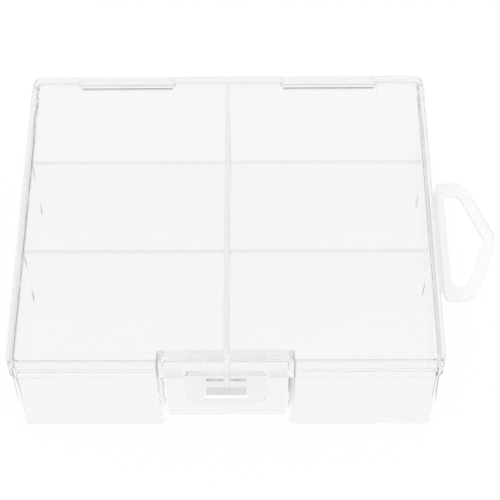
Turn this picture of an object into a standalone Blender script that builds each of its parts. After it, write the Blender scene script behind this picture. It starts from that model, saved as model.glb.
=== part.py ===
"""Battery case of clear polypropylene: a tray with six cells, a lid on two living hinges, a latch flap
on the lid's front and a hang loop on the tray's right side.

Metres, +Z up, front towards -Y. The origin is the centre of the tray's underside.
"""

import math

import bmesh
import bpy
from mathutils import Vector

# The closed case, outside
CASE_WIDTH = 0.116
CASE_DEPTH = 0.0995
CASE_HEIGHT = 0.035
CORNER_RADIUS = 0.003

# Clearances: around the closed lid, between moulded pieces, and past a solid's face for a cutter
SEAM_GAP = 0.0003
PIECE_GAP = 0.0003
CUT_OVERRUN = 0.004

# Lid: a plate with a skirt, thicker inside at the latch and at the hinges
LID_PLATE = 0.0012
LID_EDGE_RADIUS = 0.001
SKIRT_HEIGHT = 0.0044
SKIRT_WALL = 0.0009
LATCH_BAR_DEPTH = 0.0021
HINGE_BAR_DEPTH = 0.0011

# Tray: body with a draft, a rim band that the skirt sits on, and a lip that stands inside the skirt
RIM_HEIGHT = 0.003
RIM_OVERHANG = 0.0004
LIP_WALL = 0.0008
LIP_LID_GAP = 0.0004
FLOOR_THICKNESS = 0.0013
FOOT_RADIUS = 0.002
DRAFT = 0.00018
SEAT_DEPTH = 0.0002

# Recess in the tray's front, between two lobes, under the rim
RECESS_WIDTH = 0.0335
RECESS_DEPTH = 0.003
RECESS_ROOF_DROP = 0.0008
RECESS_CORNER_RADIUS = 0.0006
LOBE_CORNER_RADIUS = 0.0023

# Dividers
DIVIDER_THICKNESS = 0.00125
DIVIDER_LID_GAP = 0.0006
REAR_CELL_DEPTH = 0.0289
MIDDLE_CELL_DEPTH = 0.0299

# Living hinges at the back
HINGE_WIDTH = 0.0276
HINGE_END_INSET = 0.0142
HINGE_WEB_THICKNESS = 0.0004
HINGE_WEB_RADIUS = 0.0009
HINGE_NOTCH_WIDTH = 0.0008
HINGE_NOTCH_DEPTH = 0.0005

# Latch flap, its web under the skirt, its window, and the catch on the recess wall
LATCH_WIDTH = 0.0216
LATCH_LENGTH = 0.0157
LATCH_THICKNESS = 0.0013
LATCH_NECK_THICKNESS = 0.0009
LATCH_NECK_LENGTH = 0.0021
LATCH_CORNER_RADIUS = 0.0035
LATCH_WEB_SPAN = 0.0012
LATCH_WEB_THICKNESS = 0.0004
LATCH_BACK_GAP = 0.0005
LATCH_SIDE_GAP = 0.0006
WINDOW_WIDTH = 0.0118
WINDOW_HEIGHT = 0.0057
WINDOW_DROP = 0.0072
WINDOW_CORNER_RADIUS = 0.0006
CATCH_CLEARANCE = 0.0004
CATCH_BITE = 0.0006
CATCH_HEAD_DEPTH = 0.0006

# Hang loop, folded out level with the rim, and its web
LOOP_LENGTH = 0.04
LOOP_PLACE = -0.0062
LOOP_SHOULDER = 0.0084
LOOP_APEX = 0.01605
LOOP_THICKNESS = 0.0016
LOOP_END_BAR = 0.0042
LOOP_SIDE_BAR = 0.0034
LOOP_WALL_BAR = 0.0022
LOOP_APEX_RADIUS = 0.009
LOOP_SHOULDER_RADIUS = 0.0058
LOOP_ROOT_RADIUS = 0.0018
LOOP_HOLE_APEX_RADIUS = 0.003
LOOP_HOLE_SHOULDER_RADIUS = 0.0024
LOOP_HOLE_ROOT_RADIUS = 0.0018
LOOP_EDGE_RADIUS = 0.0003
LOOP_WEB_SPAN = 0.0016
LOOP_WEB_THICKNESS = 0.0004
LOOP_WEB_END = 0.001

# Facets of a quarter round and of an edge, the profile that makes a bevel round, and the loosest weld
ROUND_STEPS = 6
EDGE_STEPS = 4
LOOP_EDGE_STEPS = 2
PROFILE_SHARE = 0.5
WELD_DISTANCE = 0.000001

# Angles between faces: at most this flat, at least this sharp to be rounded, and to shade as an edge
FLAT_ANGLE = math.radians(0.1)
CORNER_ANGLE = math.radians(60)
EDGE_ANGLE = math.radians(30)

# Heights and planes that several pieces share
HALF_WIDTH = CASE_WIDTH / 2
HALF_DEPTH = CASE_DEPTH / 2
LID_UNDERSIDE = CASE_HEIGHT - LID_PLATE
SKIRT_BOTTOM = CASE_HEIGHT - SKIRT_HEIGHT
RIM_TOP = SKIRT_BOTTOM - SEAM_GAP
RIM_BOTTOM = RIM_TOP - RIM_HEIGHT
LIP_TOP = LID_UNDERSIDE - LIP_LID_GAP
LIP_INSET = SKIRT_WALL + SEAM_GAP
CAVITY_INSET = LIP_INSET + LIP_WALL
CAVITY_HALF_WIDTH = HALF_WIDTH - CAVITY_INSET
CAVITY_HALF_DEPTH = HALF_DEPTH - CAVITY_INSET
BODY_HALF_WIDTH = HALF_WIDTH - RIM_OVERHANG
BODY_HALF_DEPTH = HALF_DEPTH - RIM_OVERHANG
TRAY_WALL = CAVITY_INSET - RIM_OVERHANG
RECESS_FACE = RECESS_DEPTH - BODY_HALF_DEPTH
RECESS_ROOF = RIM_BOTTOM - RECESS_ROOF_DROP
CELL_FRONT = RECESS_FACE + TRAY_WALL
CORE_TOP = RIM_TOP - RIM_HEIGHT / 2
HINGE_SPREAD = HALF_WIDTH - HINGE_END_INSET - HINGE_WIDTH / 2
HINGE_AXIS = HALF_DEPTH + PIECE_GAP + HINGE_WEB_RADIUS - HINGE_WEB_THICKNESS / 2


def clear_scene():
    """Removes the objects that the scene starts with."""
    for obj in list(bpy.data.objects):
        bpy.data.objects.remove(obj, do_unlink=True)


def new_collection(name):
    """A collection in the scene."""
    collection = bpy.data.collections.new(name)
    bpy.context.scene.collection.children.link(collection)
    return collection


def plastic(name, color, roughness):
    """Clear or milky polypropylene of one tint."""
    material = bpy.data.materials.new(name)
    material.use_nodes = True
    shader = material.node_tree.nodes["Principled BSDF"]
    shader.inputs["Base Color"].default_value = (*color, 1.0)
    shader.inputs["Roughness"].default_value = roughness
    shader.inputs["Metallic"].default_value = 0.0
    shader.inputs["Transmission Weight"].default_value = 0.8
    shader.inputs["IOR"].default_value = 1.49
    return material


def put(name, mesh, collection, material=None):
    """An object for a mesh, in its collection."""
    obj = bpy.data.objects.new(name, mesh)
    collection.objects.link(obj)
    if material:
        obj.data.materials.append(material)
    return obj


def hide_cutter(obj):
    """A cutter shows as wires only and is never rendered."""
    obj.hide_render = True
    obj.display_type = "WIRE"
    return obj


def rounded_outline(corners):
    """Points along a closed outline whose corners, given as x, y and radius, are rounded."""
    points = []
    for i, (x, y, radius) in enumerate(corners):
        here = Vector((x, y))
        to_last = (Vector(corners[i - 1][:2]) - here).normalized()
        to_next = (Vector(corners[(i + 1) % len(corners)][:2]) - here).normalized()
        half = to_last.angle(to_next) / 2
        middle = (to_last + to_next).normalized()
        centre = here + middle * (radius / math.sin(half))
        start = here + to_last * (radius / math.tan(half)) - centre
        end = here + to_next * (radius / math.tan(half)) - centre
        turn = start.angle_signed(end)
        for step in range(ROUND_STEPS + 1):
            angle = -turn * step / ROUND_STEPS
            sweep = Vector((start.x * math.cos(angle) - start.y * math.sin(angle),
                            start.x * math.sin(angle) + start.y * math.cos(angle)))
            points.append(centre + sweep)
    return points


def outline_solid(name, outlines, low, high, collection, material=None):
    """A level plate between two heights, from a flat curve; an outline inside another is a hole."""
    curve = bpy.data.curves.new(name, "CURVE")
    curve.dimensions = "2D"
    curve.fill_mode = "BOTH"
    curve.extrude = (high - low) / 2
    for outline in outlines:
        spline = curve.splines.new("POLY")
        spline.points.add(len(outline) - 1)
        for point, (x, y) in zip(spline.points, outline):
            point.co = (x, y, 0, 1)
        spline.use_cyclic_u = True
    drawn = put(name + "_outline", curve, collection)
    drawn.location.z = (low + high) / 2
    bpy.context.view_layer.update()
    evaluated = drawn.evaluated_get(bpy.context.evaluated_depsgraph_get())
    mesh = bpy.data.meshes.new_from_object(evaluated)
    mesh.transform(drawn.matrix_world)
    bpy.data.objects.remove(drawn, do_unlink=True)
    bm = bmesh.new()
    bm.from_mesh(mesh)
    bmesh.ops.remove_doubles(bm, verts=bm.verts, dist=WELD_DISTANCE)
    bmesh.ops.dissolve_limit(bm, angle_limit=FLAT_ANGLE, verts=bm.verts, edges=bm.edges)
    bmesh.ops.recalc_face_normals(bm, faces=bm.faces)
    bm.to_mesh(mesh)
    bm.free()
    mesh.name = name
    return put(name, mesh, collection, material)


def block(name, low, high, collection, material=None, corner=0, crown=0):
    """A box between two corners, with its upright edges and its top edges rounded where asked."""
    bm = bmesh.new()
    bmesh.ops.create_cube(bm, size=1)
    for vert in bm.verts:
        for axis in range(3):
            vert.co[axis] = high[axis] if vert.co[axis] > 0 else low[axis]
    if corner:
        upright = [e for e in bm.edges if abs(e.verts[0].co.z - e.verts[1].co.z) > WELD_DISTANCE]
        bmesh.ops.bevel(bm, geom=upright, offset=corner, segments=ROUND_STEPS, profile=PROFILE_SHARE,
                        affect="EDGES")
    if crown:
        round_rim(bm, high[2], crown)
    bmesh.ops.recalc_face_normals(bm, faces=bm.faces)
    mesh = bpy.data.meshes.new(name)
    bm.to_mesh(mesh)
    bm.free()
    return put(name, mesh, collection, material)


def round_rim(bm, level, radius):
    """Rounds the outline of a solid at one height."""
    rim = [e for e in bm.edges if all(abs(v.co.z - level) < WELD_DISTANCE for v in e.verts)]
    bmesh.ops.bevel(bm, geom=rim, offset=radius, segments=EDGE_STEPS, profile=PROFILE_SHARE, affect="EDGES")


def combine(obj, other, operation):
    """A Boolean of two solids, kept as a modifier."""
    modifier = obj.modifiers.new(other.name, "BOOLEAN")
    modifier.operation = operation
    modifier.object = other
    modifier.solver = "EXACT"
    hide_cutter(other)


def cut(obj, *cutters):
    """Takes each cutter out of a solid."""
    for cutter in cutters:
        combine(obj, cutter, "DIFFERENCE")


def join(obj, *others):
    """Adds each solid to a solid."""
    for other in others:
        combine(obj, other, "UNION")


def hang_on(axis, *pieces):
    """Parents pieces to the empty on their joint's axis, and leaves them where they are."""
    bpy.context.view_layer.update()
    for piece in pieces:
        piece.parent = axis
        piece.matrix_parent_inverse = axis.matrix_world.inverted()


def axis_empty(name, place, collection):
    """An empty on a joint's axis."""
    empty = bpy.data.objects.new(name, None)
    empty.location = place
    empty.empty_display_size = CORNER_RADIUS
    collection.objects.link(empty)
    return empty


def stack(name, levels, collection, material):
    """A closed solid through outlines of like count, given as height and points from the lowest up."""
    bm = bmesh.new()
    rings = [[bm.verts.new((x, y, z)) for x, y in outline] for z, outline in levels]
    for low, high in zip(rings, rings[1:]):
        for i in range(len(low)):
            bm.faces.new((low[i - 1], low[i], high[i], high[i - 1]))
    bm.faces.new(rings[0])
    bm.faces.new(rings[-1])
    bmesh.ops.recalc_face_normals(bm, faces=bm.faces)
    mesh = bpy.data.meshes.new(name)
    bm.to_mesh(mesh)
    bm.free()
    return put(name, mesh, collection, material)


def body_outline(inset):
    """The body's outline in plan, with the recess in its front, drawn in all round."""
    width = BODY_HALF_WIDTH - inset
    depth = BODY_HALF_DEPTH - inset
    notch = RECESS_WIDTH / 2 + inset
    face = RECESS_FACE + inset
    corner = CORNER_RADIUS - inset
    lobe = LOBE_CORNER_RADIUS - inset
    return rounded_outline([
        (-width, -depth, corner),
        (-notch, -depth, lobe),
        (-notch, face, RECESS_CORNER_RADIUS + inset),
        (notch, face, RECESS_CORNER_RADIUS + inset),
        (notch, -depth, lobe),
        (width, -depth, corner),
        (width, depth, corner),
        (-width, depth, corner),
    ])


def tray_body(collection, material):
    """The tray below its rim: straight walls with a little draft over a rounded foot."""
    top = CORE_TOP + SEAT_DEPTH
    levels = []
    for step in range(EDGE_STEPS + 1):
        angle = math.pi / 2 * step / EDGE_STEPS
        z = FOOT_RADIUS * (1 - math.cos(angle))
        levels.append((z, body_outline(FOOT_RADIUS * (1 - math.sin(angle)) + DRAFT * (1 - z / top))))
    levels.append((top, body_outline(0)))
    return stack("tray_shell", levels, collection, material)


def tray_cavity(cutters):
    """The space inside the tray: it steps back behind the recess and in front of each hinge."""
    cavity = block("tray_cavity", (-CAVITY_HALF_WIDTH, -CAVITY_HALF_DEPTH, FLOOR_THICKNESS),
                   (CAVITY_HALF_WIDTH, CAVITY_HALF_DEPTH, CASE_HEIGHT), cutters,
                   corner=CORNER_RADIUS - LIP_INSET)
    half = RECESS_WIDTH / 2 + TRAY_WALL
    behind_recess = block("behind_recess", (-half, -HALF_DEPTH, -CUT_OVERRUN),
                          (half, CELL_FRONT, CASE_HEIGHT + CUT_OVERRUN), cutters,
                          corner=RECESS_CORNER_RADIUS)
    cut(cavity, behind_recess)
    for side in (-1, 1):
        half = HINGE_WIDTH / 2 + LIP_WALL
        jog = block("hinge_jog_%s" % side_name(side),
                    (side * HINGE_SPREAD - half, CAVITY_HALF_DEPTH - HINGE_BAR_DEPTH, RIM_BOTTOM),
                    (side * HINGE_SPREAD + half, HALF_DEPTH, CASE_HEIGHT + CUT_OVERRUN), cutters)
        cut(cavity, jog)
    return cavity


def side_name(side):
    """The word for a side of the case, seen from its front."""
    return "left" if side < 0 else "right"


def make_tray(parts, cutters, material):
    """The tray: body, rim band and lip in one, with room for the lid's bars and for the flap."""
    tray = tray_body(parts, material)
    half = RECESS_WIDTH / 2 + LOBE_CORNER_RADIUS + SEAT_DEPTH
    roof = block("recess_roof", (-half, SEAT_DEPTH - BODY_HALF_DEPTH, RECESS_ROOF),
                 (half, RECESS_FACE + TRAY_WALL / 2, CORE_TOP), cutters)
    rim = block("tray_rim", (-HALF_WIDTH, -HALF_DEPTH, RIM_BOTTOM),
                (HALF_WIDTH, HALF_DEPTH, RIM_TOP), cutters, corner=CORNER_RADIUS)
    lip = block("tray_lip", (LIP_INSET - HALF_WIDTH, LIP_INSET - HALF_DEPTH, CORE_TOP - SEAT_DEPTH),
                (HALF_WIDTH - LIP_INSET, HALF_DEPTH - LIP_INSET, LIP_TOP), cutters,
                corner=CORNER_RADIUS - LIP_INSET)
    join(tray, roof, rim, lip)
    front = SKIRT_WALL + SEAM_GAP / 2 - HALF_DEPTH
    bar_room = block("latch_bar_room", (-RECESS_WIDTH / 2, front, RIM_TOP - SEAT_DEPTH),
                     (RECESS_WIDTH / 2, RECESS_FACE, CASE_HEIGHT), cutters)
    half = LATCH_WIDTH / 2 + LATCH_SIDE_GAP
    flap_room = block("flap_room", (-half, -HALF_DEPTH - CUT_OVERRUN, RECESS_ROOF - CUT_OVERRUN),
                      (half, LATCH_THICKNESS + LATCH_BACK_GAP - HALF_DEPTH, CASE_HEIGHT), cutters)
    cut(tray, bar_room, flap_room)
    front = CAVITY_HALF_DEPTH + LIP_WALL - HINGE_BAR_DEPTH - SEAM_GAP / 2
    back = HALF_DEPTH - SKIRT_WALL - SEAM_GAP / 2
    for side in (-1, 1):
        left = side * HINGE_SPREAD - HINGE_WIDTH / 2
        room = block("hinge_bar_room_%s" % side_name(side), (left, front, RIM_TOP - SEAT_DEPTH),
                     (left + HINGE_WIDTH, back, CASE_HEIGHT), cutters)
        cut(tray, room)
    cut(tray, tray_cavity(cutters))
    return tray


def make_dividers(parts, material):
    """One long plate from front to back, and two rows of cross plates that meet it from each side."""
    bottom = FLOOR_THICKNESS + PIECE_GAP
    top = LID_UNDERSIDE - DIVIDER_LID_GAP
    half = DIVIDER_THICKNESS / 2
    plates = [block("long_divider", (-half, CELL_FRONT + PIECE_GAP, bottom),
                    (half, CAVITY_HALF_DEPTH - PIECE_GAP, top), parts, material)]
    rear = CAVITY_HALF_DEPTH - REAR_CELL_DEPTH - DIVIDER_THICKNESS
    rows = {"rear": rear, "front": rear - MIDDLE_CELL_DEPTH - DIVIDER_THICKNESS}
    for row, front in rows.items():
        for side in (-1, 1):
            near, far = side * (half + PIECE_GAP), side * (CAVITY_HALF_WIDTH - PIECE_GAP)
            plates.append(block("%s_cross_divider_%s" % (row, side_name(side)),
                                (min(near, far), front, bottom),
                                (max(near, far), front + DIVIDER_THICKNESS, top), parts, material))
    return plates


def make_lid(parts, cutters, material):
    """The lid: a rounded cap, hollowed out but for the bars behind the latch and at the hinges."""
    lid = block("lid_shell", (-HALF_WIDTH, -HALF_DEPTH, SKIRT_BOTTOM), (HALF_WIDTH, HALF_DEPTH, CASE_HEIGHT),
                parts, material, corner=CORNER_RADIUS, crown=LID_EDGE_RADIUS)
    inside = block("lid_hollow",
                   (SKIRT_WALL - HALF_WIDTH, SKIRT_WALL - HALF_DEPTH, SKIRT_BOTTOM - CUT_OVERRUN),
                   (HALF_WIDTH - SKIRT_WALL, HALF_DEPTH - SKIRT_WALL, LID_UNDERSIDE), cutters,
                   corner=CORNER_RADIUS - SKIRT_WALL)
    half = RECESS_WIDTH / 2 - SEAM_GAP
    latch_bar = block("latch_bar", (-half, -HALF_DEPTH, SKIRT_BOTTOM - 2 * CUT_OVERRUN),
                      (half, SKIRT_WALL + LATCH_BAR_DEPTH - HALF_DEPTH, CASE_HEIGHT), cutters)
    cut(inside, latch_bar)
    half = HINGE_WIDTH / 2 - SEAM_GAP
    face = HALF_DEPTH - SKIRT_WALL - HINGE_BAR_DEPTH
    for side in (-1, 1):
        middle = side * HINGE_SPREAD
        hinge_bar = block("hinge_bar_%s" % side_name(side),
                          (middle - half, face, SKIRT_BOTTOM - 2 * CUT_OVERRUN),
                          (middle + half, HALF_DEPTH, CASE_HEIGHT), cutters)
        cut(inside, hinge_bar)
    cut(lid, inside)
    low, high = SKIRT_BOTTOM - CUT_OVERRUN, CASE_HEIGHT + CUT_OVERRUN
    for side in (-1, 1):
        for end in (-1, 1):
            left = side * HINGE_SPREAD + end * HINGE_WIDTH / 2 - HINGE_NOTCH_WIDTH / 2
            notch = block("hinge_notch_%s_%s" % (side_name(side), side_name(end)),
                          (left, HALF_DEPTH - HINGE_NOTCH_DEPTH, low),
                          (left + HINGE_NOTCH_WIDTH, HALF_DEPTH + CUT_OVERRUN, high), cutters)
            cut(lid, notch)
    return lid


def make_hinge_web(side, parts, material):
    """A living hinge folded shut: a half round of thin web behind the seam."""
    name = "hinge_web_" + side_name(side)
    seam = (SKIRT_BOTTOM + RIM_TOP) / 2
    arc = [math.pi * (step / (2 * ROUND_STEPS) - 1 / 2) for step in range(2 * ROUND_STEPS + 1)]
    outer = [(HINGE_WEB_RADIUS * math.cos(a), HINGE_WEB_RADIUS * math.sin(a)) for a in arc]
    inner_radius = HINGE_WEB_RADIUS - HINGE_WEB_THICKNESS
    inner = [(inner_radius * math.cos(a), inner_radius * math.sin(a)) for a in reversed(arc)]
    half = HINGE_WIDTH / 2 - SEAM_GAP
    web = outline_solid(name, [outer + inner], -half, half, parts, material)
    for vert in web.data.vertices:
        out, up, along = vert.co
        vert.co = (side * HINGE_SPREAD + along, HALF_DEPTH + PIECE_GAP + out, seam + up)
    return web


def upright(obj, face):
    """Stands a plate drawn in plan upright: y becomes height, and its thickness runs back from a face."""
    for vert in obj.data.vertices:
        x, up, back = vert.co
        vert.co = (x, face + back, up)
    obj.data.flip_normals()


def upright_corners(half, bottom, top, bottom_radius, top_radius):
    """Corners of a rectangle with one radius at its bottom and another at its top."""
    return [(-half, top, top_radius), (-half, bottom, bottom_radius), (half, bottom, bottom_radius),
            (half, top, top_radius)]


def make_latch(parts, cutters, material):
    """The flap with its window, thinner at its neck, and the web that it swings on."""
    front = -HALF_DEPTH
    top = SKIRT_BOTTOM - LATCH_WEB_SPAN
    head = top - WINDOW_DROP
    corners = upright_corners(LATCH_WIDTH / 2, top - LATCH_LENGTH, top, LATCH_CORNER_RADIUS,
                              WINDOW_CORNER_RADIUS)
    flap = outline_solid("latch_flap", [rounded_outline(corners)], 0, LATCH_THICKNESS, parts, material)
    upright(flap, front)
    corners = upright_corners(WINDOW_WIDTH / 2, head - WINDOW_HEIGHT, head, WINDOW_CORNER_RADIUS,
                              WINDOW_CORNER_RADIUS)
    window = outline_solid("latch_window", [rounded_outline(corners)], -CUT_OVERRUN, CUT_OVERRUN, cutters)
    upright(window, front)
    neck = block("latch_neck_cut",
                 (-LATCH_WIDTH, front + LATCH_NECK_THICKNESS, top - LATCH_NECK_LENGTH),
                 (LATCH_WIDTH, front + LATCH_THICKNESS + CUT_OVERRUN, top + CUT_OVERRUN), cutters)
    cut(flap, window, neck)
    half = LATCH_WIDTH / 2 - WINDOW_CORNER_RADIUS
    web = block("latch_web", (-half, front, top + PIECE_GAP),
                (half, front + LATCH_WEB_THICKNESS, SKIRT_BOTTOM - PIECE_GAP), parts, material)
    return flap, web


def make_catch(parts, material):
    """The catch on the recess wall: a ramp that faces up and out, with a level underside."""
    head = SKIRT_BOTTOM - LATCH_WEB_SPAN - WINDOW_DROP - CATCH_CLEARANCE
    sill = head - WINDOW_HEIGHT + 2 * CATCH_CLEARANCE
    back = RECESS_FACE - PIECE_GAP
    nose = LATCH_THICKNESS - CATCH_BITE - HALF_DEPTH
    half = WINDOW_WIDTH / 2 - CATCH_CLEARANCE
    catch = block("latch_catch", (-half, nose, sill), (half, back, head), parts, material)
    for vert in catch.data.vertices:
        if vert.co.z > (head + sill) / 2 and vert.co.y < (nose + back) / 2:
            vert.co.y = back - CATCH_HEAD_DEPTH
    return catch


def make_loop(parts, material):
    """The hang loop: a flat ring, long beside the case and pointed away from it, and its web."""
    bottom = RIM_BOTTOM
    root = HALF_WIDTH + LOOP_WEB_SPAN
    end = LOOP_LENGTH / 2
    slant = (LOOP_APEX - LOOP_SHOULDER) / end
    shift = LOOP_SIDE_BAR * math.hypot(1, slant)
    hole_end = end - LOOP_END_BAR
    hole_shoulder = LOOP_SHOULDER + slant * LOOP_END_BAR - shift
    ring = [
        (0, -end, LOOP_ROOT_RADIUS),
        (LOOP_SHOULDER, -end, LOOP_SHOULDER_RADIUS),
        (LOOP_APEX, 0, LOOP_APEX_RADIUS),
        (LOOP_SHOULDER, end, LOOP_SHOULDER_RADIUS),
        (0, end, LOOP_ROOT_RADIUS),
    ]
    hole = [
        (LOOP_WALL_BAR, -hole_end, LOOP_HOLE_ROOT_RADIUS),
        (hole_shoulder, -hole_end, LOOP_HOLE_SHOULDER_RADIUS),
        (LOOP_APEX - shift, 0, LOOP_HOLE_APEX_RADIUS),
        (hole_shoulder, hole_end, LOOP_HOLE_SHOULDER_RADIUS),
        (LOOP_WALL_BAR, hole_end, LOOP_HOLE_ROOT_RADIUS),
    ]
    outlines = []
    for corners in (ring, hole):
        outlines.append(rounded_outline([(root + x, LOOP_PLACE + y, radius) for x, y, radius in corners]))
    loop = outline_solid("hang_loop", outlines, bottom, bottom + LOOP_THICKNESS, parts, material)
    bevel = loop.modifiers.new("soft_edges", "BEVEL")
    bevel.width = LOOP_EDGE_RADIUS
    bevel.segments = LOOP_EDGE_STEPS
    bevel.use_clamp_overlap = False
    bevel.limit_method = "ANGLE"
    bevel.angle_limit = CORNER_ANGLE
    web_end = end - LOOP_ROOT_RADIUS - LOOP_WEB_END
    web = block("loop_web", (HALF_WIDTH + PIECE_GAP, LOOP_PLACE - web_end, bottom),
                (root - PIECE_GAP, LOOP_PLACE + web_end, bottom + LOOP_WEB_THICKNESS), parts, material)
    return loop, web


def smooth(parts):
    """Rounded faces shade smooth, and flat ones stay crisp."""
    for obj in parts.objects:
        if obj.type == "MESH":
            obj.data.shade_smooth()
            obj.data.set_sharp_from_angle(angle=EDGE_ANGLE)


def main():
    clear_scene()
    parts = new_collection("battery_case")
    cutters = new_collection("cutters")
    clear = plastic("clear_polypropylene", (0.93, 0.94, 0.94), 0.22)
    milky = plastic("milky_polypropylene", (0.95, 0.95, 0.95), 0.38)
    make_tray(parts, cutters, clear)
    make_dividers(parts, clear)
    make_catch(parts, clear)
    lid = make_lid(parts, cutters, clear)
    hinge_webs = [make_hinge_web(side, parts, clear) for side in (-1, 1)]
    flap, flap_web = make_latch(parts, cutters, clear)
    loop, loop_web = make_loop(parts, milky)
    lid_axis = axis_empty("lid_axis", (0, HINGE_AXIS, (SKIRT_BOTTOM + RIM_TOP) / 2), parts)
    latch_axis = axis_empty("latch_axis", (0, LATCH_WEB_THICKNESS / 2 - HALF_DEPTH,
                                           SKIRT_BOTTOM - LATCH_WEB_SPAN / 2), parts)
    loop_axis = axis_empty("loop_axis", (HALF_WIDTH + LOOP_WEB_SPAN / 2, LOOP_PLACE,
                                         RIM_BOTTOM + LOOP_WEB_THICKNESS / 2), parts)
    hang_on(lid_axis, lid, latch_axis, *hinge_webs)
    hang_on(latch_axis, flap, flap_web)
    hang_on(loop_axis, loop, loop_web)
    smooth(parts)


main()
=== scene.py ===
"""A clear battery case on a light table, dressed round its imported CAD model. Metres, +Z up, front towards -Y."""

import math

import bmesh
import bpy
from mathutils import Matrix, Vector


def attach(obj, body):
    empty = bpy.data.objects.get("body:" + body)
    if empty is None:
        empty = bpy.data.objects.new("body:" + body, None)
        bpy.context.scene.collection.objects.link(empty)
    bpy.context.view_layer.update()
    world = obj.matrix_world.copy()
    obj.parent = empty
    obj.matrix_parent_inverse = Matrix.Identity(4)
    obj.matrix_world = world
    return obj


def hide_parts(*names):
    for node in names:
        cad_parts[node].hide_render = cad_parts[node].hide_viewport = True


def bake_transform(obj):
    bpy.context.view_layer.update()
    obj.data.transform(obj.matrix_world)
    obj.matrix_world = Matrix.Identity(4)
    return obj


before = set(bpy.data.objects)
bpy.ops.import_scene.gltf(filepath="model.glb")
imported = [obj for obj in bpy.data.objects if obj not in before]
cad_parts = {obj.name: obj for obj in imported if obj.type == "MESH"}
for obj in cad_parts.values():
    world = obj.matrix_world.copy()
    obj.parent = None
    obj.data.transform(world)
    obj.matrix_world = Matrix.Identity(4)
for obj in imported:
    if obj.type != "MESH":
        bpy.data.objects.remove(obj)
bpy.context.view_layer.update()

# The tray: one injection moulding of clear polypropylene. A rounded body with a recess in its front carries a
# rim band and a thin lip, and its six cells, their dividers and the latch's catch are moulded in one with it.

BODY_HALF = Vector((0.0576, 0.04935))
RIM_HALF = Vector((0.058, 0.04975))
LIP_HALF = Vector((0.0568, 0.04855))
CAVITY_HALF = Vector((0.056, 0.04775))
RIM_BOTTOM, RIM_TOP, LIP_TOP = 0.0273, 0.0303, 0.0334
RECESS_HALF, RECESS_FACE, RECESS_ROOF = 0.01675, -0.04635, 0.0265
FLOOR_TOP, DIVIDER_TOP, DIVIDER_HALF = 0.0013, 0.0332, 0.000625
HINGE_PLACE, HINGE_ROOM_HALF, HINGE_JOG_HALF, HINGE_JOG_FACE = 0.03, 0.0138, 0.0146, 0.04665
BODY_TOP, ROOM_FLOOR, LIP_BOTTOM = 0.0289, 0.0301, 0.0286
CORNER_RADIUS, LOBE_RADIUS, RECESS_RADIUS, FOOT_RADIUS = 0.003, 0.0023, 0.0006, 0.002
LIP_RADIUS, LIP_EDGE_RADIUS, FINE_RADIUS = 0.0018, 0.00025, 0.00012
BODY_DRAFT, CELL_DRAFT = (0.9969, 0.9964, 1), (0.994, 0.991, 1)
CELL_CORNER_RADIUS, STEP_RADIUS, FILLET_RADIUS, TOP_RADIUS, STEP_PLACE = 0.0014, 0.0006, 0.0004, 0.0002, 0.01835
CATCH_HALF, CATCH_FRONT, CATCH_BOTTOM, CATCH_TOP, CATCH_SLOPE = 0.0055, -0.04905, 0.0169, 0.0218, 0.0018
CLEAR_OF = 0.06
NEAR = 0.00001
PLASTIC_IOR = 1.12


def only(obj):
    """Leaves one object selected and active."""
    bpy.ops.object.select_all(action="DESELECT")
    obj.select_set(True)
    bpy.context.view_layer.objects.active = obj
    return obj


def settle(obj):
    """Moves an object's place, turn and size into its mesh."""
    only(obj)
    bpy.ops.object.transform_apply(location=True, rotation=True, scale=True)
    return obj


def cube(name, low, high):
    """A cube primitive added between two corners."""
    bpy.ops.object.select_all(action="DESELECT")
    bpy.ops.mesh.primitive_cube_add(size=1, location=[(a + b) / 2 for a, b in zip(low, high)],
                                    scale=[b - a for a, b in zip(low, high)])
    bpy.context.object.name = name
    return settle(bpy.context.object)


def open_up(obj):
    """Goes into edit mode on an object with nothing in its mesh selected."""
    if obj.mode != "EDIT":
        only(obj)
        bpy.ops.object.mode_set(mode="EDIT")
    bpy.ops.mesh.select_all(action="DESELECT")
    return bmesh.from_edit_mesh(obj.data)


def pick_edges(obj, wanted):
    """Selects the edges that a test of their middle and direction picks."""
    mesh = open_up(obj)
    bpy.ops.mesh.select_mode(type="EDGE")
    for edge in mesh.edges:
        a, b = (vert.co for vert in edge.verts)
        edge.select_set(bool(wanted((a + b) / 2, (b - a).normalized())))
    bmesh.update_edit_mesh(obj.data)


def pick_faces(obj, wanted):
    """Selects the faces that a test of their middle and normal picks."""
    mesh = open_up(obj)
    bpy.ops.mesh.select_mode(type="FACE")
    for face in mesh.faces:
        face.select_set(bool(wanted(face.calc_center_median(), face.normal)))
    bmesh.update_edit_mesh(obj.data)


def close_up():
    """Goes back to object mode."""
    bpy.ops.object.mode_set(mode="OBJECT")


def round_edges(obj, wanted, radius, steps):
    """Bevels the edges that a test picks."""
    pick_edges(obj, wanted)
    bpy.ops.mesh.bevel(offset=radius, segments=steps, profile=0.5, affect="EDGES", clamp_overlap=False)
    close_up()
    return obj


def upright(middle, along):
    """True for an edge that stands upright."""
    return abs(along.z) > 0.99


def level_at(height):
    """A test for the edges that lie level at one height."""
    return lambda middle, along: abs(middle.z - height) < NEAR and abs(along.z) < 0.01


def slice_at(obj, place, normal):
    """Cuts a mesh along a plane and keeps both sides."""
    open_up(obj)
    bpy.ops.mesh.select_all(action="SELECT")
    bpy.ops.mesh.bisect(plane_co=place, plane_no=normal)
    close_up()


def draw_out(move, size=None, about=None):
    """Extrudes the selected faces and moves the new end, scaled about a point where asked."""
    bpy.ops.mesh.extrude_region_move(TRANSFORM_OT_translate={"value": move})
    if size:
        bpy.ops.transform.resize(value=size, center_override=about)


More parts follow.
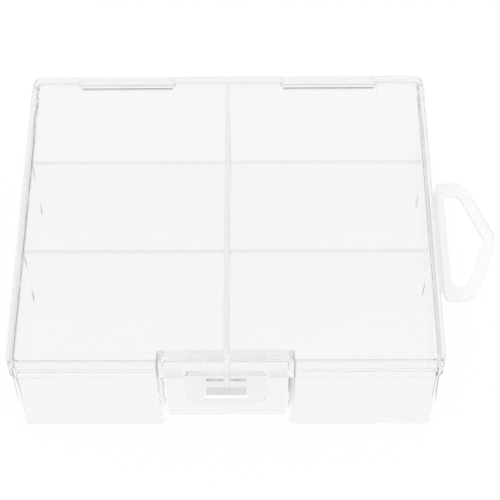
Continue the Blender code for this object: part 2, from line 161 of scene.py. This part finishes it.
def clean(obj):
    """Joins faces that lie in one plane and welds what lies on one spot."""
    open_up(obj)
    bpy.ops.mesh.select_all(action="SELECT")
    bpy.ops.mesh.remove_doubles(threshold=0.000002)
    bpy.ops.mesh.dissolve_limited(angle_limit=math.radians(0.05))
    close_up()
    return obj


def combine(obj, other, operation):
    """Joins another solid to one or takes it away, for good."""
    modifier = obj.modifiers.new("combine", "BOOLEAN")
    modifier.operation = operation
    modifier.object = other
    modifier.solver = "EXACT"
    only(obj)
    bpy.ops.object.modifier_apply(modifier=modifier.name)
    bpy.data.objects.remove(other, do_unlink=True)
    return obj


def mirrored(obj):
    """A copy of a piece with its own mesh, on the other side of the case."""
    only(obj)
    bpy.ops.object.duplicate(linked=False)
    copy = bpy.context.object
    copy.scale.x = -1
    settle(copy)
    open_up(copy)
    bpy.ops.mesh.select_all(action="SELECT")
    bpy.ops.mesh.normals_make_consistent(inside=False)
    close_up()
    return copy


def joined(obj, *others):
    """Several pieces in one mesh."""
    only(obj)
    for other in others:
        other.select_set(True)
    bpy.ops.object.join()
    return obj


def shade(obj):
    """Rounded faces shade smooth, and take the normals of the flat ones where they meet them."""
    only(obj)
    bpy.ops.object.shade_smooth_by_angle(angle=math.radians(35))
    pick_faces(obj, lambda middle, normal: max(abs(part) for part in normal) > 0.9995)
    bpy.ops.mesh.mod_weighted_strength(set=True, face_strength="STRONG")
    close_up()
    modifier = obj.modifiers.new("even", "WEIGHTED_NORMAL")
    modifier.keep_sharp = True
    modifier.use_face_influence = True
    only(obj)
    bpy.ops.object.modifier_apply(modifier=modifier.name)
    return obj


def tray_body():
    """The body under the rim: a block whose two front lobes are drawn out, rounded, with a soft foot."""
    body = cube("tray_moulding", (-BODY_HALF.x, RECESS_FACE, 0), (BODY_HALF.x, BODY_HALF.y, BODY_TOP))
    for side in (-1, 1):
        slice_at(body, (side * RECESS_HALF, 0, 0), (1, 0, 0))
    pick_faces(body, lambda middle, normal: normal.y < -0.9 and abs(middle.x) > RECESS_HALF)
    draw_out((0, -BODY_HALF.y - RECESS_FACE, 0))
    close_up()
    clean(body)
    round_edges(body, lambda m, a: upright(m, a) and abs(m.x) > BODY_HALF.x - NEAR, CORNER_RADIUS, 8)
    round_edges(body, lambda m, a: upright(m, a) and abs(abs(m.x) - RECESS_HALF) < NEAR
                and m.y < -BODY_HALF.y + NEAR, LOBE_RADIUS, 7)
    round_edges(body, lambda m, a: upright(m, a) and abs(abs(m.x) - RECESS_HALF) < NEAR
                and abs(m.y - RECESS_FACE) < NEAR, RECESS_RADIUS, 4)
    pick_faces(body, lambda middle, normal: normal.z < -0.9)
    bpy.ops.transform.resize(value=BODY_DRAFT, center_override=(0, 0, 0))
    close_up()
    return round_edges(body, level_at(0), FOOT_RADIUS, 6)


def pocket(name, low, high, about, step=None):
    """The space of one cell: drafted walls, filleted floor, and a flare that rounds the divider tops."""
    cell = cube(name, (*low, FLOOR_TOP), (*high, DIVIDER_TOP - TOP_RADIUS))
    if step:
        slice_at(cell, (step[0], 0, 0), (1, 0, 0))
        pick_faces(cell, lambda middle, normal: normal.y < -0.9 and middle.x > step[0])
        draw_out((0, step[1] - low[1], 0))
        close_up()
        clean(cell)
    pick_faces(cell, lambda middle, normal: normal.z < -0.9)
    bpy.ops.transform.resize(value=CELL_DRAFT)
    close_up()
    if step:
        round_edges(cell, lambda m, a: upright(m, a) and abs(m.x - STEP_PLACE) < 0.0013, STEP_RADIUS, 4)
    round_edges(cell, lambda m, a: upright(m, a) and m.x > 0.055 and abs(m.y) > 0.0465, CELL_CORNER_RADIUS, 6)
    round_edges(cell, level_at(FLOOR_TOP), FILLET_RADIUS, 3)
    wide, deep = high[0] - low[0], high[1] - (step[1] if step else low[1])
    both = 2 if about is None else 1
    pivot = (high[0], (low[1] + high[1]) / 2 if about is None else about, 0)
    pick_faces(cell, lambda middle, normal: normal.z > 0.9)
    spread, rise = 0, 0
    for angle in (30, 60, 90):
        out = TOP_RADIUS * (1 - math.cos(math.radians(angle)))
        up = TOP_RADIUS * math.sin(math.radians(angle))
        wider, deeper = (wide + out) / (wide + spread), (deep + both * out) / (deep + both * spread)
        draw_out((0, 0, up - rise), (wider, deeper, 1), pivot)
        spread, rise = out, up
    draw_out((0, 0, 0.003))
    close_up()
    return cell


tray = tray_body()
roof_half = RECESS_HALF + 0.0025
roof = cube("roof", (-roof_half, -0.04915, RECESS_ROOF), (roof_half, -0.0455, 0.0288))
combine(tray, roof, "UNION")
rim = cube("rim", (*-RIM_HALF, RIM_BOTTOM), (*RIM_HALF, RIM_TOP))
round_edges(rim, upright, CORNER_RADIUS, 8)
round_edges(rim, lambda m, a: abs(a.z) < 0.01, FINE_RADIUS, 2)
combine(tray, rim, "UNION")
lip = cube("lip", (*-LIP_HALF, LIP_BOTTOM), (*LIP_HALF, LIP_TOP))
round_edges(lip, upright, LIP_RADIUS, 7)
round_edges(lip, level_at(LIP_TOP), LIP_EDGE_RADIUS, 3)
combine(tray, lip, "UNION")
bar_room = cube("bar_room", (-RECESS_HALF, -0.0487, ROOM_FLOOR), (RECESS_HALF, RECESS_FACE, CLEAR_OF))
combine(tray, bar_room, "DIFFERENCE")
combine(tray, cube("flap_room", (-0.0114, -CLEAR_OF, 0.0225), (0.0114, -0.04795, CLEAR_OF)), "DIFFERENCE")
for side in (-1, 1):
    middle = side * HINGE_PLACE
    hinge_room = cube("hinge_room", (middle - HINGE_ROOM_HALF, 0.0473, ROOM_FLOOR),
                      (middle + HINGE_ROOM_HALF, 0.0487, CLEAR_OF))
    combine(tray, hinge_room, "DIFFERENCE")


def hinge_jogs(space):
    """Leaves the tray's back wall standing in front of each of the lid's hinge bars."""
    for side in (-1, 1):
        middle = side * HINGE_PLACE
        jog = cube("jog", (middle - HINGE_JOG_HALF, HINGE_JOG_FACE, RIM_BOTTOM),
                   (middle + HINGE_JOG_HALF, CLEAR_OF, CLEAR_OF))
        combine(space, jog, "DIFFERENCE")
    return space


mouth = cube("mouth", (*-CAVITY_HALF, DIVIDER_TOP), (*CAVITY_HALF, 0.03325))
round_edges(mouth, upright, CELL_CORNER_RADIUS, 5)
pick_faces(mouth, lambda middle, normal: normal.z > 0.9)
draw_out((0, 0, 0.00015), (1.0027, 1.0031, 1), (0, 0, 0))
draw_out((0, 0, 0.003))
close_up()
combine(tray, hinge_jogs(mouth), "DIFFERENCE")


def recess_wall(m, n):
    """The outer face of the recess."""
    return n.y < -0.9 and m.z < RECESS_ROOF and abs(m.y - RECESS_FACE) < 0.0003 and abs(m.x) < RECESS_HALF


edge = 0.05598, 0.04773
cells = joined(
    pocket("rear_cell", (DIVIDER_HALF, 0.01885), edge, edge[1]),
    pocket("middle_cell", (DIVIDER_HALF, -0.0123), (edge[0], 0.0176), None),
    pocket("front_cell", (DIVIDER_HALF, -0.04475), (edge[0], -0.01355), -edge[1], step=(STEP_PLACE, -edge[1])),
)
cells = joined(cells, mirrored(cells))
combine(tray, hinge_jogs(cells), "DIFFERENCE")

catch = cube("catch", (-CATCH_HALF, CATCH_FRONT, CATCH_BOTTOM), (CATCH_HALF, -0.046, CATCH_TOP))
pick_edges(catch, lambda m, a: m.y < CATCH_FRONT + NEAR and m.z > CATCH_TOP - NEAR)
bpy.ops.transform.translate(value=(0, CATCH_SLOPE, 0))
close_up()
round_edges(catch, lambda m, a: m.y < -0.0465, FINE_RADIUS, 2)
combine(tray, catch, "UNION")
clean(tray)
for side in (-1, 1):
    pick_faces(tray, recess_wall)
    bpy.ops.mesh.bisect(plane_co=(side * DIVIDER_HALF, 0, 0), plane_no=(1, 0, 0))
    close_up()
shade(tray)


class Signal:
    """A shader socket that Python's operators join to others with Math nodes."""

    def __init__(self, tree, socket=None):
        self.tree = tree
        self.socket = socket

    def node(self, kind, settings, values, output=0):
        """Any node: its type, its settings, the values or links of its sockets, and the output that is wanted."""
        made = self.tree.nodes.new(kind)
        for name, value in settings.items():
            if name == "stops":
                ramp = made.color_ramp
                while len(ramp.elements) < len(value):
                    ramp.elements.new(0.5)
                for element, (place, grey) in zip(ramp.elements, value):
                    element.position = place
                    element.color = (grey, grey, grey, 1)
            else:
                setattr(made, name, value)
        for name, value in values.items():
            if isinstance(value, Signal):
                self.tree.links.new(value.socket, made.inputs[name])
            else:
                made.inputs[name].default_value = value
        return Signal(self.tree, made.outputs[output])

    def math(self, operation, first, second):
        return self.node("ShaderNodeMath", {"operation": operation}, {0: first, 1: second})

    def __add__(self, other):
        return self.math("ADD", self, other)

    def __mul__(self, other):
        return self.math("MULTIPLY", self, other)

    def __sub__(self, other):
        return self.math("SUBTRACT", self, other)

    def __rsub__(self, other):
        return self.math("SUBTRACT", other, self)

    __radd__ = __add__
    __rmul__ = __mul__


def polypropylene(name, tint, haze, clarity, dullness, grain, wear):
    """Moulded polypropylene: cloudy patches, flow marks from the gate, hairline scratches and a fine surface grain."""
    material = bpy.data.materials.new(name)
    material.use_nodes = True
    shader = material.node_tree.nodes["Principled BSDF"]
    start = Signal(material.node_tree)
    place = start.node("ShaderNodeTexCoord", {}, {}, "Object")
    patches = start.node("ShaderNodeTexNoise", {}, {"Vector": place, "Scale": 90.0, "Detail": 3.0, "Roughness": 0.55})
    stretched = start.node("ShaderNodeMapping", {}, {"Vector": place, "Rotation": (0, 0, 0.35),
                                                     "Scale": (40.0, 420.0, 120.0)})
    flow = start.node("ShaderNodeTexNoise", {}, {"Vector": stretched, "Scale": 1.0, "Detail": 2.0, "Distortion": 0.4})
    fine = start.node("ShaderNodeTexNoise", {}, {"Vector": place, "Scale": 3200.0, "Detail": 2.0})
    scratches = 0.0
    for turn in (0.5, 1.9, 2.6):
        combed = start.node("ShaderNodeMapping", {}, {"Vector": place, "Rotation": (0, 0, turn),
                                                      "Scale": (90.0, 4200.0, 4200.0)})
        lines = start.node("ShaderNodeTexNoise", {}, {"Vector": combed, "Scale": 1.0, "Detail": 1.0})
        scratches = start.node("ShaderNodeValToRGB", {"stops": [(0.72, 0.0), (0.76, 1.0)]}, {"Fac": lines}) + scratches
    worn = start.node("ShaderNodeValToRGB", {"stops": [(0.5, 0.0), (0.7, 1.0)]}, {"Fac": patches})
    scratches = scratches * worn * wear
    cloud = patches * 0.7 + flow * 0.3
    colour = start.node("ShaderNodeMix", {"data_type": "RGBA"}, {0: cloud, 6: (*haze, 1), 7: (*tint, 1)}, 2)
    bump = start.node("ShaderNodeBump", {}, {"Strength": grain, "Distance": 0.00001,
                                             "Height": fine * 0.6 + flow * 0.8})
    tree = material.node_tree
    tree.links.new(colour.socket, shader.inputs["Base Color"])
    tree.links.new((fine * 0.04 + scratches * 0.1 + dullness).socket, shader.inputs["Roughness"])
    tree.links.new(bump.socket, shader.inputs["Normal"])
    shader.inputs["Transmission Weight"].default_value = clarity
    shader.inputs["IOR"].default_value = PLASTIC_IOR
    return material


# The outer faces carry the plastic's pale grey, lightly on the flap and the back of the lid.
clear = polypropylene("clear_polypropylene", tint=(0.835, 0.836, 0.837), haze=(0.81, 0.812, 0.815),
                      clarity=0.9, dullness=0.12, grain=0.25, wear=0.5)
faint = polypropylene("faint_polypropylene", tint=(0.93, 0.931, 0.932), haze=(0.92, 0.922, 0.925),
                      clarity=0.96, dullness=0.08, grain=0.2, wear=0.3)
# The divider and lip tops are hazier, the catch and the divider's end are thick, and the inside is polished.
hazy = polypropylene("hazy_edge_polypropylene", tint=(0.85, 0.851, 0.852), haze=(0.8, 0.802, 0.805),
                     clarity=0.88, dullness=0.2, grain=0.25, wear=0.0)
smoky = polypropylene("thick_polypropylene", tint=(0.8, 0.801, 0.802), haze=(0.75, 0.752, 0.755),
                      clarity=0.9, dullness=0.1, grain=0.25, wear=0.0)
polished = polypropylene("polished_polypropylene", tint=(1.0, 1.0, 1.0), haze=(0.995, 0.996, 0.997),
                         clarity=0.99, dullness=0.03, grain=0.1, wear=0.0)


def finish(obj, plastic, *others):
    """Gives a piece its plastic, and other finishes to the faces that their tests pick, the last one first."""
    obj.data.materials.clear()
    obj.data.materials.append(plastic)
    for index, (other, wanted) in enumerate(others, start=1):
        obj.data.materials.append(other)
        for face in obj.data.polygons:
            if wanted(face.center, face.normal):
                face.material_index = index


def outer_wall(m, n):
    """The tray's outside at its front: both lobes, the rim band there and at the sides, and the recess."""
    return m.z < RIM_TOP - NEAR and n.z > -0.9 and m.y < 0.0482 and (
        abs(m.x) > RIM_HALF.x - NEAR or m.y < -0.0487 or recess_wall(m, n))


finish(tray, polished, (clear, outer_wall), (hazy, lambda m, n: n.z > 0.4 and m.z > 0.0329),
       (smoky, lambda m, n: recess_wall(m, n) and abs(m.x) < DIVIDER_HALF),
       (smoky, lambda m, n: m.y < -0.0464 and abs(m.x) < CATCH_HALF + 0.0001
        and CATCH_BOTTOM - 0.0001 < m.z < CATCH_TOP + 0.0001))
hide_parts("tray_shell", "long_divider", "rear_cross_divider_left", "rear_cross_divider_right",
            "front_cross_divider_left", "front_cross_divider_right", "latch_catch")
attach(tray, "tray")

# The lid: a shallow clear cap with a rounded top edge. Its skirt stands round the tray's lip, and is thicker
# inside behind the latch and at the two hinges. Small notches in its back edge mark the ends of the hinges.

LID_TOP, SKIRT_BOTTOM, LID_UNDERSIDE, SKIRT_WALL = 0.035, 0.0306, 0.0338, 0.0009
LID_EDGE_RADIUS, HOLLOW_CORNER_RADIUS, HOLLOW_EDGE_RADIUS = 0.001, 0.0021, 0.0003
HINGE_HALF, HINGE_BAR_FACE, LATCH_BAR_HALF, LATCH_BAR_FACE = 0.0135, 0.04775, 0.01645, -0.04675
NOTCH_HALF, NOTCH_DEPTH = 0.0004, 0.0005

lid = cube("lid_moulding", (*-RIM_HALF, SKIRT_BOTTOM), (*RIM_HALF, LID_TOP))
round_edges(lid, upright, CORNER_RADIUS, 8)
round_edges(lid, level_at(LID_TOP), LID_EDGE_RADIUS, 6)
round_edges(lid, level_at(SKIRT_BOTTOM), FINE_RADIUS, 2)
hollow = cube("hollow", (-RIM_HALF.x + SKIRT_WALL, -RIM_HALF.y + SKIRT_WALL, 0.026),
              (RIM_HALF.x - SKIRT_WALL, RIM_HALF.y - SKIRT_WALL, LID_UNDERSIDE))
round_edges(hollow, upright, HOLLOW_CORNER_RADIUS, 7)
round_edges(hollow, level_at(LID_UNDERSIDE), HOLLOW_EDGE_RADIUS, 3)
latch_bar = cube("latch_bar", (-LATCH_BAR_HALF, -CLEAR_OF, 0.02), (LATCH_BAR_HALF, LATCH_BAR_FACE, CLEAR_OF))
combine(hollow, latch_bar, "DIFFERENCE")
for side in (-1, 1):
    middle = side * HINGE_PLACE
    hinge_bar = cube("hinge_bar", (middle - HINGE_HALF, HINGE_BAR_FACE, 0.02),
                     (middle + HINGE_HALF, CLEAR_OF, CLEAR_OF))
    combine(hollow, hinge_bar, "DIFFERENCE")
combine(lid, hollow, "DIFFERENCE")
for place in (-0.0438, -0.0162, 0.0162, 0.0438):
    notch = cube("notch", (place - NOTCH_HALF, RIM_HALF.y - NOTCH_DEPTH, 0.026),
                 (place + NOTCH_HALF, CLEAR_OF, CLEAR_OF))
    round_edges(notch, lambda m, a: upright(m, a) and m.y < RIM_HALF.y, NOTCH_HALF / 2, 3)
    combine(lid, notch, "DIFFERENCE")
shade(clean(lid))
finish(lid, polished, (clear, lambda m, n: n.z > 0.3 and m.z > LID_UNDERSIDE + 0.0001
                       or abs(m.x) > 0.0572 and m.y < 0.0485 or m.y < -0.0489),
       (faint, lambda m, n: m.y > 0.0489 and n.z < 0.3))
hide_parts("lid_shell")
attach(lid, "lid")

# The lid's living hinges: two thin webs of the same polypropylene that bulge out behind the seam while the lid is
# shut. They are moulded with the tray and the lid.

WEB_ROOT, WEB_START, WEB_BOTTOM, WEB_TOP, WEB_MIDDLE = 0.04975, 0.05005, 0.02955, 0.02995, 0.03045

web = cube("left_lid_hinge", (-HINGE_PLACE - HINGE_HALF, WEB_ROOT, WEB_BOTTOM),
           (-HINGE_PLACE + HINGE_HALF, WEB_START, WEB_TOP))
pick_faces(web, lambda middle, normal: normal.y > 0.9)
bpy.ops.mesh.spin(steps=14, angle=math.radians(-180), center=(0, WEB_START, WEB_MIDDLE), axis=(1, 0, 0))
bpy.ops.mesh.extrude_region_move(TRANSFORM_OT_translate={"value": (0, -0.0003, 0)})
bpy.ops.mesh.select_all(action="SELECT")
bpy.ops.mesh.remove_doubles(threshold=0.000001)
bpy.ops.mesh.normals_make_consistent(inside=False)
close_up()
only(web)
bpy.ops.object.shade_smooth_by_angle(angle=math.radians(35))
finish(web, polished)
for piece, name, side in ((web, "hinge_web_left", -1), (mirrored(web), "hinge_web_right", 1)):
    piece.name = "left_lid_hinge" if side < 0 else "right_lid_hinge"
    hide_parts(name)
    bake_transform(piece)

# The latch: a clear flap that hangs from the lid's skirt on a thin strip and snaps over the catch. It is one
# moulding with the lid, with a window for the catch, rounded lower corners and a thinner neck.

FLAP_FRONT, FLAP_BACK, FLAP_TOP, FLAP_BOTTOM, FLAP_HALF = -0.04975, -0.04845, 0.0294, 0.0137, 0.0108
FLAP_CORNER_RADIUS, WINDOW_RADIUS, FLAP_EDGE_RADIUS = 0.0035, 0.0006, 0.0002
WINDOW_GAP, NECK_HEIGHT, NECK_BACK = 0.0004, 0.0021, -0.04885

flap = cube("latch_plate", (-FLAP_HALF, FLAP_FRONT, FLAP_BOTTOM), (FLAP_HALF, FLAP_BACK, FLAP_TOP))
round_edges(flap, lambda m, a: abs(a.y) > 0.99 and m.z < FLAP_BOTTOM + NEAR, FLAP_CORNER_RADIUS, 10)
round_edges(flap, lambda m, a: abs(a.y) > 0.99 and m.z > FLAP_TOP - NEAR, WINDOW_RADIUS, 4)
window = cube("window", (-CATCH_HALF - WINDOW_GAP, -CLEAR_OF, CATCH_BOTTOM - WINDOW_GAP),
              (CATCH_HALF + WINDOW_GAP, -0.045, CATCH_TOP + WINDOW_GAP))
round_edges(window, lambda m, a: abs(a.y) > 0.99, WINDOW_RADIUS, 5)
combine(flap, window, "DIFFERENCE")
round_edges(clean(flap), lambda m, a: abs(m.y - FLAP_FRONT) < NEAR or abs(m.y - FLAP_BACK) < NEAR, FLAP_EDGE_RADIUS, 3)
neck = cube("neck", (-0.02, NECK_BACK, FLAP_TOP - NECK_HEIGHT), (0.02, -0.04, CLEAR_OF))
combine(flap, neck, "DIFFERENCE")
shade(clean(flap))
finish(flap, polished, (faint, lambda m, n: n.y < -0.5))
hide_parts("latch_flap")
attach(flap, "latch")

STRIP_HALF, STRIP_THICK, OVERLAP = 0.0102, 0.0004, 0.00005

strip = cube("latch_hinge_strip", (-STRIP_HALF, FLAP_FRONT, FLAP_TOP - OVERLAP),
             (STRIP_HALF, FLAP_FRONT + STRIP_THICK, SKIRT_BOTTOM + OVERLAP))
for height in (0.0297, 0.0299, 0.0301, 0.0303):
    slice_at(strip, (0, 0, height), (0, 0, 1))
pick_faces(strip, lambda m, n: abs(n.y) > 0.9 and 0.0299 < m.z < 0.0301)
bpy.ops.transform.resize(value=(1, 0.7, 1))
close_up()
finish(strip, polished, (faint, lambda m, n: n.y < -0.5))
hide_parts("latch_web")
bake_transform(strip)

# The hang loop: a flat five-sided ring for a peg or hook, moulded milky and matt on the right of the rim. Its
# edges are rounded, and a thin strip joins it to the rim.

LOOP_BOTTOM, LOOP_TOP, LOOP_ROOT, LOOP_MIDDLE = 0.0273, 0.0289, 0.0596, -0.0062


def pointed_plate(name, root, shoulder, apex, half, low, high, radii):
    """A five-sided plate, long beside the case and pointed away from it, with rounded corners."""
    plate = cube(name, (root, LOOP_MIDDLE - half, low), (shoulder, LOOP_MIDDLE + half, high))
    slice_at(plate, (0, LOOP_MIDDLE, 0), (0, 1, 0))
    pick_edges(plate, lambda m, a: upright(m, a) and m.x > shoulder - NEAR and abs(m.y - LOOP_MIDDLE) < NEAR)
    bpy.ops.transform.translate(value=(apex - shoulder, 0, 0))
    close_up()
    pick_edges(plate, lambda m, a: abs(a.y) < 0.01 and abs(m.y - LOOP_MIDDLE) < NEAR and not upright(m, a))
    bpy.ops.mesh.dissolve_edges(use_verts=False)
    close_up()
    clean(plate)
    lean = math.atan2(half, apex - shoulder)
    reach = (1 / math.tan(lean), math.tan(lean / 2), 1)
    for place, radius, part in zip((apex, shoulder, root), radii, reach):
        round_edges(plate, lambda m, a: upright(m, a) and abs(m.x - place) < NEAR, radius * part, 10)
    return plate


LOOP_SHOULDER, LOOP_REACH, LOOP_HALF = 0.0084, 0.01605, 0.02
LOOP_SHOULDER_PLACE, LOOP_APEX, HOLE_HALF = 0.068, 0.07565, 0.0158
ROOT_BAR, SIDE_BAR, POINT_BAR, LOOP_EDGE_RADIUS = 0.0022, 0.0042, 0.0034, 0.00035

loop = pointed_plate("hanger", LOOP_ROOT, LOOP_SHOULDER_PLACE, LOOP_APEX, LOOP_HALF,
                     LOOP_BOTTOM, LOOP_TOP, (0.009, 0.0058, 0.0018))
slant = (LOOP_REACH - LOOP_SHOULDER) / LOOP_HALF
shift = POINT_BAR * math.hypot(1, slant)
hole = pointed_plate("hole", LOOP_ROOT + ROOT_BAR, LOOP_ROOT + LOOP_SHOULDER + slant * SIDE_BAR - shift,
                     LOOP_ROOT + LOOP_REACH - shift, HOLE_HALF, 0.02, 0.04, (0.003, 0.0024, 0.0018))
combine(loop, hole, "DIFFERENCE")
clean(loop)
round_edges(loop, lambda m, a: abs(a.z) < 0.01, LOOP_EDGE_RADIUS, 4)
shade(clean(loop))
milky = polypropylene("milky_polypropylene", tint=(0.94, 0.94, 0.94), haze=(0.9, 0.902, 0.905),
                      clarity=0.75, dullness=0.3, grain=0.8, wear=0.3)
finish(loop, milky)
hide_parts("hang_loop")
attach(loop, "loop")

FOLD_ROOT, FOLD_HALF, FOLD_TOP = 0.058, 0.0172, 0.0277

fold = cube("hanger_strip", (FOLD_ROOT, LOOP_MIDDLE - FOLD_HALF, LOOP_BOTTOM),
            (LOOP_ROOT + OVERLAP, LOOP_MIDDLE + FOLD_HALF, FOLD_TOP))
for place in (0.0584, 0.0586, 0.0588, 0.059, 0.0592):
    slice_at(fold, (place, 0, 0), (1, 0, 0))
finish(fold, milky)
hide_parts("loop_web")
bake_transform(fold)

# The stage: a white light table under the case, a soft white room round it, and the camera that took the
# photograph, high in front of the case and a little to its right.

bpy.ops.object.select_all(action="DESELECT")
bpy.ops.mesh.primitive_plane_add(size=6, location=(0, 0, -0.0002))
floor = bpy.context.object
floor.name = "light_table"
lit = bpy.data.materials.new("light_table")
lit.use_nodes = True
glow = lit.node_tree.nodes["Principled BSDF"]
glow.inputs["Base Color"].default_value = (0.05, 0.05, 0.05, 1)
glow.inputs["Roughness"].default_value = 0.9
glow.inputs["Specular IOR Level"].default_value = 0.0
glow.inputs["Emission Color"].default_value = (1, 1, 1, 1)
glow.inputs["Emission Strength"].default_value = 0.95
floor.data.materials.append(lit)

room = bpy.data.worlds.new("room")
bpy.context.scene.world = room
room.use_nodes = True
walls = Signal(room.node_tree)
toward = walls.node("ShaderNodeTexCoord", {}, {}, "Generated")
height = walls.node("ShaderNodeSeparateXYZ", {}, {"Vector": toward}, "Z")
shadeband = walls.node("ShaderNodeValToRGB", {"stops": [(0.0, 0.85), (0.5, 1.0)]}, {"Fac": height})
backdrop = room.node_tree.nodes["Background"]
room.node_tree.links.new(shadeband.socket, backdrop.inputs["Color"])
backdrop.inputs["Strength"].default_value = 1.2

bpy.ops.object.camera_add()
camera = bpy.context.object
camera.name = "camera"
camera.data.lens = 114.59
camera.data.shift_x = 0.0292
camera.matrix_world = (Matrix.Translation((0.00805, -0.26449, 0.39254))
                       @ Matrix.Rotation(math.radians(1.263), 4, "Z")
                       @ Matrix.Rotation(math.radians(90 - 54.941), 4, "X")
                       @ Matrix.Rotation(math.radians(-1.265), 4, "Z"))
bpy.context.scene.camera = camera
bpy.context.scene.view_settings.view_transform = "Standard"
bpy.context.scene.view_settings.gamma = 1.4

bpy.context.view_layer.update()
